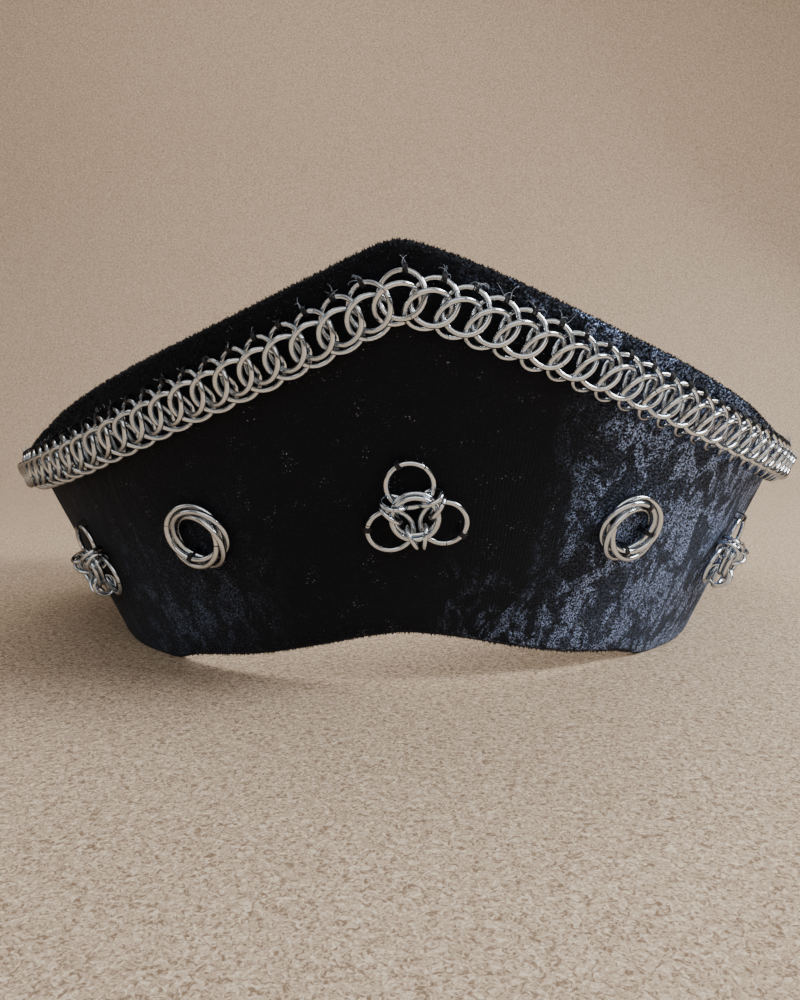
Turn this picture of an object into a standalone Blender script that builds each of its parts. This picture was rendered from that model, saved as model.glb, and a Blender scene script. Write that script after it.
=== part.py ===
"""A stiff velvet head-dress band with a ring-chain edge and ring ornaments, as closed solids in metres."""

import bisect
import math

import bmesh
import bpy
from mathutils import Euler, Matrix, Vector

MM = 0.001

# The outer face is a flared wall. Each level is part of an ellipse in plan, and both half axes grow with
# height. The setback puts the middle of the whole piece's box over the origin.
HALF_WIDTH_AT_FLOOR = 93.6
HALF_DEPTH_AT_FLOOR = 74.2
HALF_WIDTH_GAIN = 0.5956
HALF_DEPTH_GAIN = 0.8489
BACKWARD_SHIFT_GAIN = 0.4630
CENTRE_SETBACK = 60.033
REAR_END_ANGLE = 122.0
WALL_THICKNESS = 3.0
EDGE_ROUNDING = 1.0
PEAK_ROUNDING = 1.2
PEAK_SHIFT = -0.6
PEAK_REACH = 5.0
FOOT_ALLOWANCE = 1.2

# Heights in mm along the band, by angle in degrees from the middle of the front.
TOP_EDGE = (
    (0, 104.5), (5, 99.3), (10, 94.3), (15, 89.6), (20, 85.3), (30, 77.7), (40, 70.7),
    (50, 64.2), (60, 59.9), (70, 58.0), (80, 57.6), (90, 57.6), (105, 56.5), (122, 54.4),
)
CHAIN_TOP = (
    (0, 99.8), (5, 94.9), (10, 89.9), (15, 85.2), (20, 80.9), (30, 73.0), (40, 66.6),
    (50, 62.0), (60, 59.1), (70, 57.4), (80, 57.0), (90, 56.7), (105, 54.9), (122, 51.6),
)
LOWER_EDGE = (
    (0, 13.3), (7, 11.4), (14, 8.5), (22, 5.6), (30, 3.5), (38, 1.7), (46, -FOOT_ALLOWANCE),
    (60, -FOOT_ALLOWANCE), (122, -FOOT_ALLOWANCE),
)

BAND_COLUMNS = 72
BAND_ROWS = 4

# The chain sits a little higher on the right of the front than on the left.
CHAIN_LEAN = 1.1
CHAIN_LEAN_START = 10.0
CHAIN_LEAN_END = 60.0

# The chain strip's outline across its length: distance down the wall from the ring tops, and off the wall.
CHAIN_OUTLINE = (
    (0.3, 2.4), (2.6, 0.5), (10.0, 0.5), (12.4, 2.4),
    (12.4, 3.8), (10.0, 5.8), (2.6, 5.8), (0.3, 3.8),
)
CHAIN_COLUMNS = 72
CHAIN_END_ANGLE = 121.3

# Rings are named by the radius of their centre line and the radius of their wire.
LARGE_RING = (5.35, 0.62)
ROSETTE_RING = (7.20, 0.62)
ROSETTE_OFFSET = 1.35
ROSETTE_STAND_OFF = 2.35
SMALL_RING = (3.00, 0.52)
LARGE_SIDES = 14
SMALL_SIDES = 10
WIRE_SIDES = 5

# Each row: name, ring, centre along, up and off the wall, and the direction the ring faces.
TREFOIL = (
    ("outer_top", LARGE_RING, (-0.07, 6.98, 2.40), (0.01, 0.08, 1.0)),
    ("outer_left", LARGE_RING, (-6.24, -3.60, 2.53), (0.03, -0.05, 1.0)),
    ("outer_right", LARGE_RING, (6.16, -3.59, 2.63), (-0.03, 0.03, 1.0)),
    ("core_inner", LARGE_RING, (0.10, 0.37, 4.07), (0.01, 0.0, 1.0)),
    ("core_outer", LARGE_RING, (-0.04, -0.03, 5.49), (0.01, 0.0, 1.0)),
    ("link_top_right", SMALL_RING, (4.19, 4.09, 3.91), (-0.29, 0.95, 0.09)),
    ("link_top_left", SMALL_RING, (-4.25, 4.06, 3.99), (-0.29, -0.95, -0.09)),
    ("link_left_top", SMALL_RING, (-5.42, 1.31, 3.89), (-0.74, -0.67, 0.07)),
    ("link_left_low", SMALL_RING, (-1.40, -5.41, 3.85), (0.95, 0.32, -0.04)),
    ("link_right_low", SMALL_RING, (1.58, -5.63, 3.94), (0.97, -0.23, 0.08)),
    ("link_right_top", SMALL_RING, (5.45, 1.36, 3.85), (-0.74, 0.67, -0.07)),
)


def rosette(hand):
    """Four large rings that interlock round one point. The hand is 1 or -1, one the other's mirror image."""
    tilt = math.asin(ROSETTE_OFFSET / ROSETTE_RING[0])
    rows = []
    for turn in range(4):
        along, up = math.cos(math.radians(90 * turn)), math.sin(math.radians(90 * turn))
        centre = (hand * ROSETTE_OFFSET * along, ROSETTE_OFFSET * up, ROSETTE_STAND_OFF)
        facing = (-hand * math.sin(tilt) * up, math.sin(tilt) * along, math.cos(tilt))
        rows.append((f"ring_{turn + 1}", ROSETTE_RING, centre, facing))
    return tuple(rows)


# Name, rings, angle round the band, height on the wall and turn in the wall's plane.
ORNAMENTS = (
    ("centre_trefoil", TREFOIL, 0.6, 47.0, 9.0),
    ("left_trefoil", TREFOIL, -52.1, 26.9, 12.0),
    ("right_trefoil", TREFOIL, 54.9, 27.4, -18.0),
    ("left_rosette", rosette(-1), -25.9, 39.5, 30.0),
    ("right_rosette", rosette(1), 27.3, 40.5, -30.0),
)


def clear_scene():
    for item in list(bpy.data.objects):
        bpy.data.objects.remove(item, do_unlink=True)


def height_at(table, angle):
    """A smooth line through the table's heights, the same on both sides but for the peak, which is rounded."""
    aside = angle - PEAK_SHIFT * math.exp(-((angle / PEAK_REACH) ** 2))
    x = min(math.hypot(aside, PEAK_ROUNDING * math.exp(-((angle / PEAK_REACH) ** 2))), table[-1][0])
    angles = [row[0] for row in table]
    heights = [row[1] for row in table]
    last = len(table) - 1
    i = min(max(bisect.bisect_right(angles, x) - 1, 0), last - 1)

    def slope(k):
        low, high = max(k - 1, 0), min(k + 1, last)
        return (heights[high] - heights[low]) / (angles[high] - angles[low])

    span = angles[i + 1] - angles[i]
    t = (x - angles[i]) / span
    return (
        (2 * t**3 - 3 * t**2 + 1) * heights[i]
        + (t**3 - 2 * t**2 + t) * span * slope(i)
        + (3 * t**2 - 2 * t**3) * heights[i + 1]
        + (t**3 - t**2) * span * slope(i + 1)
    )


def wall_point(angle, height):
    """A point of the band's outer face, in metres."""
    turn = math.radians(angle)
    half_width = HALF_WIDTH_AT_FLOOR + HALF_WIDTH_GAIN * height
    half_depth = HALF_DEPTH_AT_FLOOR + HALF_DEPTH_GAIN * height
    back = HALF_DEPTH_AT_FLOOR + BACKWARD_SHIFT_GAIN * height - CENTRE_SETBACK
    return Vector((half_width * math.sin(turn), back - half_depth * math.cos(turn), height)) * MM


def wall_frame(angle, height):
    """The wall's directions along, up and outwards at a point of it."""
    along = (wall_point(angle + 0.05, height) - wall_point(angle - 0.05, height)).normalized()
    rise = wall_point(angle, height + 0.05) - wall_point(angle, height - 0.05)
    out = along.cross(rise).normalized()
    return along, out.cross(along).normalized(), out


def chain_height(angle):
    """The height of the ring tops, in millimetres."""
    lean = math.tanh(angle / CHAIN_LEAN_START) * math.exp(-((angle / CHAIN_LEAN_END) ** 4))
    return height_at(CHAIN_TOP, angle) + CHAIN_LEAN * lean


def frame_on_chain(angle):
    """The place on the line of the ring tops, with the directions along the line, across it and outwards."""
    ahead = wall_point(angle + 1.0, chain_height(angle + 1.0))
    behind = wall_point(angle - 1.0, chain_height(angle - 1.0))
    height = chain_height(angle)
    out = wall_frame(angle, height)[2]
    along = (ahead - behind).normalized()
    return wall_point(angle, height), along, out.cross(along).normalized(), out


def material(name, colour, roughness, metallic):
    made = bpy.data.materials.new(name)
    made.use_nodes = True
    shader = made.node_tree.nodes["Principled BSDF"]
    shader.inputs["Base Color"].default_value = (*colour, 1.0)
    shader.inputs["Roughness"].default_value = roughness
    shader.inputs["Metallic"].default_value = metallic
    return made


def add_object(name, mesh, finish, collection):
    made = bpy.data.objects.new(name, mesh)
    made.data.materials.append(finish)
    collection.objects.link(made)
    return made


def lofted_mesh(name, rows, closed):
    """A mesh of quads through rows of points, each row a ring if closed, then with both ends filled."""
    shape = bmesh.new()
    lines = [[shape.verts.new(point) for point in row] for row in rows]
    count = len(rows[0])
    for first, second in zip(lines, lines[1:]):
        for k in range(count if closed else count - 1):
            n = (k + 1) % count
            shape.faces.new((first[k], second[k], second[n], first[n]))
    if closed:
        shape.faces.new(lines[0])
        shape.faces.new(list(reversed(lines[-1])))
        bmesh.ops.recalc_face_normals(shape, faces=shape.faces)
    mesh = bpy.data.meshes.new(name)
    shape.to_mesh(mesh)
    shape.free()
    return mesh


def floor_cutter(collection):
    bpy.ops.mesh.primitive_cube_add(size=1.0, location=(0.0, 0.0, -0.02))
    cutter = bpy.context.object
    cutter.name = "floor_cutter"
    cutter.data.transform(Matrix.Diagonal((0.5, 0.5, 0.04, 1.0)))
    for owner in list(cutter.users_collection):
        owner.objects.unlink(cutter)
    collection.objects.link(cutter)
    cutter.display_type = "WIRE"
    cutter.hide_render = True
    return cutter


def velvet_band(finish, collection, cutter):
    rows = []
    for step in range(BAND_COLUMNS + 1):
        angle = REAR_END_ANGLE * (2 * step / BAND_COLUMNS - 1)
        low = height_at(LOWER_EDGE, angle)
        high = height_at(TOP_EDGE, angle)
        rows.append([wall_point(angle, low + (high - low) * k / BAND_ROWS) for k in range(BAND_ROWS + 1)])
    band = add_object("velvet_band", lofted_mesh("velvet_band", rows, False), finish, collection)

    wall = band.modifiers.new("Wall", "SOLIDIFY")
    wall.thickness = WALL_THICKNESS * MM
    wall.offset = -1.0
    wall.use_even_offset = True

    rounding = band.modifiers.new("Round edges", "BEVEL")
    rounding.width = EDGE_ROUNDING * MM
    rounding.segments = 2
    rounding.limit_method = "ANGLE"
    rounding.angle_limit = math.radians(50)

    foot = band.modifiers.new("Flat foot", "BOOLEAN")
    foot.operation = "DIFFERENCE"
    foot.solver = "EXACT"
    foot.object = cutter
    return band


def ring_chain(finish, collection):
    """The chain strip's outer form, as one solid that follows the wall."""
    rows = []
    for step in range(CHAIN_COLUMNS + 1):
        angle = CHAIN_END_ANGLE * (2 * step / CHAIN_COLUMNS - 1)
        start, _, up, out = frame_on_chain(angle)
        rows.append([start - up * down * MM + out * off * MM for down, off in CHAIN_OUTLINE])
    return add_object("ring_chain", lofted_mesh("ring_chain", rows, True), finish, collection)


def wire_ring(name, ring, centre, facing, parent, finish, collection):
    radius, wire = ring
    sides = SMALL_SIDES if ring is SMALL_RING else LARGE_SIDES
    bpy.ops.mesh.primitive_torus_add(
        major_segments=sides,
        minor_segments=WIRE_SIDES,
        major_radius=radius * MM,
        minor_radius=wire * MM,
    )
    made = bpy.context.object
    made.name = name
    for owner in list(made.users_collection):
        owner.objects.unlink(made)
    collection.objects.link(made)
    made.data.materials.append(finish)
    made.parent = parent
    made.location = Vector(centre) * MM
    made.rotation_euler = Vector(facing).to_track_quat("Z", "Y").to_euler()
    return made


def ornament(name, rings, angle, height, turn, finish, collection):
    """One ring ornament, its rings parented to an empty that sits on the wall."""
    along, up, out = wall_frame(angle, height)
    holder = bpy.data.objects.new(name, None)
    collection.objects.link(holder)
    frame = Matrix((along, up, out)).transposed().to_4x4()
    frame.translation = wall_point(angle, height)
    holder.matrix_world = frame @ Euler((0.0, 0.0, math.radians(turn))).to_matrix().to_4x4()
    for suffix, ring, centre, facing in rings:
        wire_ring(f"{name}_{suffix}", ring, centre, facing, holder, finish, collection)


def main():
    clear_scene()
    parts = bpy.data.collections.new("kokoshnik")
    cutters = bpy.data.collections.new("cutters")
    bpy.context.scene.collection.children.link(parts)
    bpy.context.scene.collection.children.link(cutters)

    velvet = material("black velvet", (0.012, 0.013, 0.018), 0.85, 0.0)
    steel = material("stainless ring steel", (0.62, 0.61, 0.59), 0.22, 1.0)

    velvet_band(velvet, parts, floor_cutter(cutters))
    ring_chain(steel, parts)
    for name, rings, angle, height, turn in ORNAMENTS:
        ornament(name, rings, angle, height, turn, steel, parts)


main()
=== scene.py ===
"""A kokoshnik band of black velvet with a steel ring-chain edge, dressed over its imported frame."""

import bisect
import logging
import math
import random
from dataclasses import dataclass
from enum import Enum

import bmesh
import bpy
from bmesh.types import BMesh, BMVert
from bpy.types import Material, Mesh, Object
from mathutils import Matrix, Quaternion, Vector


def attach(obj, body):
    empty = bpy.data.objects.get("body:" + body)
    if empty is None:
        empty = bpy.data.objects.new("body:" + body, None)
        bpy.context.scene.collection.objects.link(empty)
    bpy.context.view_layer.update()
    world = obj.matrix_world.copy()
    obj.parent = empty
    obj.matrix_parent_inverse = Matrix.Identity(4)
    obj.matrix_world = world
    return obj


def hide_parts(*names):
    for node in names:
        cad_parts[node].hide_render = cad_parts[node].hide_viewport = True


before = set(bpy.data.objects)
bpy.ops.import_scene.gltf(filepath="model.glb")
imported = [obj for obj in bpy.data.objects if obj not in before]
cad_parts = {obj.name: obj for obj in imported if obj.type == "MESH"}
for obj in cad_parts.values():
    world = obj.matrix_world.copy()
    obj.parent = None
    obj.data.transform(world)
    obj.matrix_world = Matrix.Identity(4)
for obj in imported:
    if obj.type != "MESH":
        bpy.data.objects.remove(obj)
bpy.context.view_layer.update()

MM = 0.001
Triple = tuple[float, float, float]
LOG = logging.getLogger("kokoshnik")


# Node trees


class Signal:
    """One output in a node tree, with the arithmetic of a plain number."""

    def __init__(self, bench: "NodeBench", socket: bpy.types.NodeSocket) -> None:
        """Wraps a socket.

        Args:
            bench: the tree's bench, which adds the nodes of an expression.
            socket: the output that is wrapped.
        """
        self.bench = bench
        self.socket = socket

    def math(self, operation: str, *values: object, clamp: bool = False) -> "Signal":
        """Adds one Math node.

        Args:
            operation: the Math node's operation.
            values: its inputs, signals or numbers.
            clamp: whether the result stays between 0 and 1.

        Returns:
            The node's result.
        """
        settings = {"operation": operation, "use_clamp": clamp}
        return self.bench.add("ShaderNodeMath", settings, dict(enumerate(values)))

    def __add__(self, other: object) -> "Signal":
        """Adds."""
        return self.math("ADD", self, other)

    def __radd__(self, other: object) -> "Signal":
        """Adds, with the number first."""
        return self.math("ADD", other, self)

    def __sub__(self, other: object) -> "Signal":
        """Subtracts."""
        return self.math("SUBTRACT", self, other)

    def __rsub__(self, other: object) -> "Signal":
        """Subtracts from a number."""
        return self.math("SUBTRACT", other, self)

    def __mul__(self, other: object) -> "Signal":
        """Multiplies."""
        return self.math("MULTIPLY", self, other)

    def __rmul__(self, other: object) -> "Signal":
        """Multiplies, with the number first."""
        return self.math("MULTIPLY", other, self)

    def clamped(self) -> "Signal":
        """Keeps the value between 0 and 1."""
        return self.math("ADD", self, 0.0, clamp=True)

    def sine(self) -> "Signal":
        """Takes the sine."""
        return self.math("SINE", self)

    def between(self, low: float, high: float) -> "Signal":
        """Rises smoothly from 0 to 1.

        Args:
            low: the value where the rise starts.
            high: the value where it ends, which may be below low for a fall.

        Returns:
            The smooth step.
        """
        ends = {"Value": self, "From Min": low, "From Max": high, "To Min": 0.0, "To Max": 1.0}
        return self.bench.add("ShaderNodeMapRange", {"interpolation_type": "SMOOTHSTEP"}, ends)

    def hill(self, middle: float, reach: float) -> "Signal":
        """Is 1 at a value and falls smoothly to 0 on both sides.

        Args:
            middle: the value with the top of the hill.
            reach: the distance from the middle to the foot.

        Returns:
            The hill.
        """
        return self.math("ABSOLUTE", self - middle).between(reach, 0.0)


class NodeBench:
    """Adds nodes to one tree and links them."""

    def __init__(self, tree: bpy.types.NodeTree) -> None:
        """Starts on a tree."""
        self.tree = tree

    def add(
        self,
        kind: str,
        settings: dict[str, object] | None = None,
        sockets: dict[str | int, object] | None = None,
        output: str | int = 0,
    ) -> Signal:
        """Adds a node, sets it up and links its inputs.

        Args:
            kind: the node's type.
            settings: its properties, set first. "stops" is a ramp's list of position and colour.
            sockets: values, or signals to link, by socket name or number.
            output: the output to return, by name or number.

        Returns:
            The chosen output.
        """
        node = self.tree.nodes.new(kind)
        for key, value in (settings or {}).items():
            if key == "stops":
                for spare in list(node.color_ramp.elements)[1:]:
                    node.color_ramp.elements.remove(spare)
                node.color_ramp.elements[0].position = value[0][0]
                node.color_ramp.elements[0].color = (*value[0][1], 1.0)
                for position, colour in value[1:]:
                    node.color_ramp.elements.new(position).color = (*colour, 1.0)
            else:
                setattr(node, key, value)
        self.give(node.inputs, sockets or {})
        return Signal(self, self.pick(node.outputs, output)) if len(node.outputs) else Signal(self, None)

    def give(self, sockets: bpy.types.bpy_prop_collection, values: dict[str | int, object]) -> None:
        """Sets or links a node's inputs.

        Args:
            sockets: the inputs.
            values: numbers, colours or signals by socket name or number.
        """
        for key, value in values.items():
            socket = self.pick(sockets, key)
            if isinstance(value, Signal):
                self.tree.links.new(value.socket, socket)
            elif isinstance(value, tuple) and socket.type == "RGBA":
                socket.default_value = (*value, 1.0)
            else:
                socket.default_value = value

    @staticmethod
    def pick(sockets: bpy.types.bpy_prop_collection, key: str | int) -> bpy.types.NodeSocket:
        """Finds the socket in use that has a name, or takes it by number.

        Args:
            sockets: a node's inputs or outputs.
            key: the name or number.

        Returns:
            The socket.
        """
        if isinstance(key, int):
            return sockets[key]
        named = [socket for socket in sockets if socket.name == key]
        in_use = [socket for socket in named if socket.enabled]
        return (in_use or named)[0]

    def noise(
        self, place: Signal, scale: float, detail: float = 2.0, rough: float = 0.5, bend: float = 0.0
    ) -> Signal:
        """Adds a noise of values about 0.5.

        Args:
            place: the coordinates.
            scale: the noise's cells in one unit of the coordinates.
            detail: the number of finer layers.
            rough: how strong the finer layers are.
            bend: how far the noise is distorted.

        Returns:
            The noise's value.
        """
        sockets = {"Vector": place, "Scale": scale, "Detail": detail, "Roughness": rough, "Distortion": bend}
        return self.add("ShaderNodeTexNoise", {"noise_dimensions": "3D"}, sockets)

    def blend(self, factor: object, first: object, second: object) -> Signal:
        """Mixes two colours.

        Args:
            factor: 0 for the first, 1 for the second.
            first: a colour or a signal.
            second: a colour or a signal.

        Returns:
            The mixed colour.
        """
        settings = {"data_type": "RGBA", "clamp_factor": True}
        return self.add("ShaderNodeMix", settings, {0: factor, 6: first, 7: second}, 2)

    def stretch(self, place: Signal, amounts: Triple) -> Signal:
        """Multiplies coordinates, one factor for each axis."""
        return self.add("ShaderNodeVectorMath", {"operation": "MULTIPLY"}, {0: place, 1: amounts})

    def object_place(self) -> Signal:
        """Gives the object's own coordinates, in millimetres."""
        return self.stretch(self.add("ShaderNodeTexCoord", {}, {}, "Object"), (1000.0, 1000.0, 1000.0))

    def field(self, name: str) -> Signal:
        """Gives a number that is stored on the mesh."""
        return self.add("ShaderNodeAttribute", {"attribute_name": name}, {}, "Fac")

    def bump(self, height: Signal, depth: float, strength: float = 1.0) -> Signal:
        """Adds a Bump node.

        Args:
            height: the relief, from 0 to 1.
            depth: its real depth in metres.
            strength: how much of it shows.

        Returns:
            The changed normal.
        """
        return self.add("ShaderNodeBump", {}, {"Height": height, "Distance": depth, "Strength": strength})


class Finish:
    """A procedural finish: a material with one Principled shader and the nodes that feed it."""

    name = "finish"

    def build(self) -> Material:
        """Makes the material and feeds its shader.

        Returns:
            The material.
        """
        made = bpy.data.materials.new(self.name)
        made.use_nodes = True
        bench = NodeBench(made.node_tree)
        bench.give(made.node_tree.nodes["Principled BSDF"].inputs, self.inputs(bench))
        return made

    def inputs(self, bench: NodeBench) -> dict[str, object]:
        """Gives the shader's inputs.

        Args:
            bench: the material's bench.

        Returns:
            Numbers, colours or signals by socket name.
        """
        raise NotImplementedError


@dataclass(frozen=True)
class VelvetFinish(Finish):
    """Black crushed stretch velvet: dark pile, painted blue-grey sheen in the crushed patches where light
    falls, and painted fine glints.
    """

    name: str = "black crushed velvet"
    pile: Triple = (0.0050, 0.0066, 0.0110)
    # The colour of the painted sheen on the crushed pile.
    painted_sheen_colour: Triple = (0.43, 0.59, 1.0)
    # The colour of the painted glints.
    glint: Triple = (0.60, 0.68, 0.84)
    grain_size: float = 0.50
    spark_size: float = 0.42
    wale_width: float = 0.95

    def inputs(self, bench: NodeBench) -> dict[str, object]:
        """Gives the shader's inputs, on the cloth's own map in millimetres.

        Args:
            bench: the material's bench.

        Returns:
            Numbers, colours or signals by socket name.
        """
        cloth = bench.add("ShaderNodeUVMap", {"uv_map": "cloth"})
        place = bench.stretch(cloth, (1000.0, 1000.0, 0.0))
        along = bench.add("ShaderNodeSeparateXYZ", {}, {0: place}, "X")
        below_top = bench.field("below_top")

        broad = bench.noise(place, 0.035, 2.0, 0.5, 0.4)
        patch = bench.noise(bench.stretch(place, (1.0, 0.7, 0.0)), 0.11, 4.0, 0.6, 1.6)
        folds = bench.noise(bench.stretch(place, (1.6, 0.55, 0.0)), 0.10, 2.0, 0.5, 2.2).between(0.40, 0.56)
        crushed = patch.between(0.45, 0.56) * (0.12 + 0.88 * folds)
        grain = bench.noise(place, 1.0 / self.grain_size, 1.0, 0.6, 0.9)
        salt = grain.between(0.51, 0.59)
        vein = (grain - 0.5).math("ABSOLUTE", grain - 0.5).between(0.055, 0.0)

        # Painted sheen: the crushed pile is lighter where light falls on it, on the right third, along the
        # top edge, low on the left and low on the front.
        right = along.between(30.0, 62.0)
        edge = below_top.between(9.0, 1.0) * along.between(2.0, 40.0)
        left_low = along.hill(-82.0, 52.0) * below_top.between(30.0, 56.0) * (0.03 + 0.13 * crushed)
        lower_front = along.hill(30.0, 26.0) * below_top.between(66.0, 84.0) * 0.5 * crushed
        outer = bench.field("outer_face")
        # Painted shade: the painted sheen fades towards the rear ends and is weak on the inner face.
        sheen_fade = (1.0 - 0.45 * along.between(110.0, 170.0)) * (0.13 + 0.87 * outer)
        lit = right * (0.09 + 1.0 * crushed) + edge * (0.06 + 0.6 * crushed) + left_low + lower_front
        lit = (lit * sheen_fade).clamped()
        # The painted sheen, strongest in the grains of the lit crushed patches; it also drives Metallic and
        # Roughness.
        painted_sheen = (lit * (0.01 + 1.45 * salt + 0.08 * vein) * (0.40 + 1.7 * broad)).clamped()

        # Painted glints: sparse bright specks on the pile, more of them in patches and where the painted
        # sheen is.
        spark_seed = bench.noise(place, 1.0 / self.spark_size, 0.0, 0.5, 0.5)
        spark_zone = bench.noise(place, 0.16, 2.0, 0.5, 0.0).between(0.56, 0.68)
        spark = spark_seed.between(0.72, 0.80) * (0.03 + 0.60 * spark_zone + 0.4 * lit)

        colour = bench.blend(painted_sheen, self.pile, self.painted_sheen_colour)
        colour = bench.blend((spark * 0.9).clamped(), colour, self.glint)
        bent = along + (along * 0.21).sine() * 0.35
        wales = (bent * (2.0 * math.pi / self.wale_width)).sine() * 0.5 + 0.5
        wale_zone = along.hill(22.0, 24.0) * below_top.between(24.0, 36.0)
        relief = grain * 0.55 + patch * 0.9 + wales * wale_zone * 0.12 + broad * 0.4
        return {
            "Base Color": colour,
            "Metallic": painted_sheen * 0.8,
            "Roughness": 0.92 - 0.42 * painted_sheen,
            "Normal": bench.bump(relief, 0.00045),
            "Specular IOR Level": 0.22,
            "Sheen Weight": 0.12,
            "Sheen Roughness": 0.35,
            "Sheen Tint": (0.62, 0.70, 0.90),
        }


@dataclass(frozen=True)
class PileFinish(Finish):
    """The loose pile hairs at the velvet's edges."""

    name: str = "velvet pile hairs"
    dark: Triple = (0.006, 0.006, 0.009)
    light: Triple = (0.030, 0.034, 0.050)

    def inputs(self, bench: NodeBench) -> dict[str, object]:
        """Gives the shader's inputs.

        Args:
            bench: the material's bench.

        Returns:
            Numbers, colours or signals by socket name.
        """
        place = bench.object_place()
        tone = bench.noise(place, 1.6, 1.0).between(0.42, 0.72)
        return {
            "Base Color": bench.blend(tone, self.dark, self.light),
            "Roughness": 0.85 - 0.2 * tone,
            "Specular IOR Level": 0.25,
        }


@dataclass(frozen=True)
class SteelFinish(Finish):
    """Polished stainless wire with fine drawing marks, a slightly different tone for each ring, and painted
    dark reflections towards the edges of the wire.
    """

    name: str = "stainless ring wire"
    warm: Triple = (0.84, 0.87, 0.91)
    cool: Triple = (0.76, 0.86, 0.97)
    # Dark tone of the tarnish patches, also used for the painted dark reflections at the wire's edges.
    tarnish_and_dark_reflection: Triple = (0.16, 0.16, 0.17)

    def inputs(self, bench: NodeBench) -> dict[str, object]:
        """Gives the shader's inputs.

        Args:
            bench: the material's bench.

        Returns:
            Numbers, colours or signals by socket name.
        """
        place = bench.object_place()
        tone = bench.field("ring_tone")
        smear = bench.noise(place, 0.55, 3.0, 0.6)
        marks = bench.noise(bench.stretch(place, (0.35, 3.0, 0.8)), 2.6, 2.0, 0.6)
        tarnish = bench.noise(place, 0.9, 4.0, 0.7).between(0.60, 0.78)
        colour = bench.blend(tone * 0.7 + smear * 0.3, self.warm, self.cool)
        colour = bench.blend(tarnish * 0.45, colour, self.tarnish_and_dark_reflection)
        # Painted dark reflection: the wire's colour darkens towards its edges as seen, standing in for the
        # dark velvet and room mirrored there.
        rim = bench.add("ShaderNodeLayerWeight", {}, {}, "Facing")
        colour = bench.blend(rim.between(0.22, 0.72) * 0.85, colour, self.tarnish_and_dark_reflection)
        return {
            "Base Color": colour,
            "Metallic": 1.0,
            "Roughness": 0.05 + 0.07 * smear + 0.05 * marks + 0.10 * tarnish,
            "Normal": bench.bump(marks, 0.00003, 0.6),
        }


@dataclass(frozen=True)
class ThreadFinish(Finish):
    """Polyester sewing thread with a fine twist, and painted sheen and glints in small specks."""

    name: str = "black sewing thread"
    dark: Triple = (0.004, 0.004, 0.006)
    light: Triple = (0.05, 0.06, 0.09)
    glossy: float = 0.42
    glint_flecks: float = 0.6

    def inputs(self, bench: NodeBench) -> dict[str, object]:
        """Gives the shader's inputs.

        Args:
            bench: the material's bench.

        Returns:
            Numbers, colours or signals by socket name.
        """
        place = bench.object_place()
        bands = {"Vector": place, "Scale": 1.3, "Distortion": 2.0, "Detail": 1.0}
        twist = bench.add("ShaderNodeTexWave", {"bands_direction": "DIAGONAL"}, bands, "Fac")
        # Painted sheen and glints: the twist bands and the small specks blend towards the lighter colour.
        fleck = bench.noise(place, 2.2, 1.0).between(0.55, 0.70)
        colour = bench.blend(twist * 0.15 + fleck * self.glint_flecks, self.dark, self.light)
        return {
            "Base Color": colour,
            "Roughness": self.glossy + 0.2 * twist,
            "Normal": bench.bump(twist, 0.00004, 0.8),
        }


@dataclass(frozen=True)
class PaperFinish(Finish):
    """The plain pale paper that the piece stands on."""

    name: str = "plain pale paper"
    tone: Triple = (0.590, 0.452, 0.328)
    light: Triple = (0.620, 0.480, 0.352)
    dark_fibre: Triple = (0.27, 0.187, 0.124)
    pale_fibre: Triple = (0.90, 0.755, 0.585)

    def inputs(self, bench: NodeBench) -> dict[str, object]:
        """Gives the shader's inputs.

        Args:
            bench: the material's bench.

        Returns:
            Numbers, colours or signals by socket name.
        """
        place = bench.add("ShaderNodeTexCoord", {}, {}, "Object")
        cloud = bench.noise(place, 6.0, 3.0)
        fleck = bench.noise(place, 1000.0, 3.0, 0.7, 1.3)
        fibre = bench.noise(place, 2400.0, 2.0, 0.6)
        tone = bench.blend(cloud, self.tone, self.light)
        tone = bench.blend(fleck.between(0.50, 0.38), tone, self.dark_fibre)
        return {
            "Base Color": bench.blend(fleck.between(0.52, 0.64), tone, self.pale_fibre),
            "Roughness": 0.95 - 0.05 * fibre,
            "Normal": bench.bump(fleck * 0.7 + fibre * 0.3, 0.0003, 0.6),
            "Specular IOR Level": 0.12,
        }


# The band's form, with the same numbers as the part's source


@dataclass(frozen=True)
class Contour:
    """A height in millimetres by angle, alike on both sides but for the rounded peak and the lean."""

    rows: tuple[tuple[float, float], ...]
    rounding: float = 1.2
    peak_shift: float = -0.6
    peak_reach: float = 5.0
    lean: float = 0.0
    lean_start: float = 10.0
    lean_end: float = 60.0

    def at(self, angle: float) -> float:
        """Finds the height on a smooth line through the rows.

        Args:
            angle: degrees from the middle of the front.

        Returns:
            The height in millimetres.
        """
        last = len(self.rows) - 1
        near_peak = math.exp(-((angle / self.peak_reach) ** 2))
        aside = angle - self.peak_shift * near_peak
        x = min(math.hypot(aside, self.rounding * near_peak), self.rows[last][0])
        angles = [row[0] for row in self.rows]
        heights = [row[1] for row in self.rows]
        i = min(max(bisect.bisect_right(angles, x) - 1, 0), last - 1)
        slopes = []
        for k in (i, i + 1):
            low, high = max(k - 1, 0), min(k + 1, last)
            slopes.append((heights[high] - heights[low]) / (angles[high] - angles[low]))
        span = angles[i + 1] - angles[i]
        t = (x - angles[i]) / span
        lean = self.lean * math.tanh(angle / self.lean_start) * math.exp(-((angle / self.lean_end) ** 4))
        return lean + (
            (2 * t**3 - 3 * t**2 + 1) * heights[i]
            + (t**3 - 2 * t**2 + t) * span * slopes[0]
            + (3 * t**2 - 2 * t**3) * heights[i + 1]
            + (t**3 - t**2) * span * slopes[1]
        )


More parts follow.
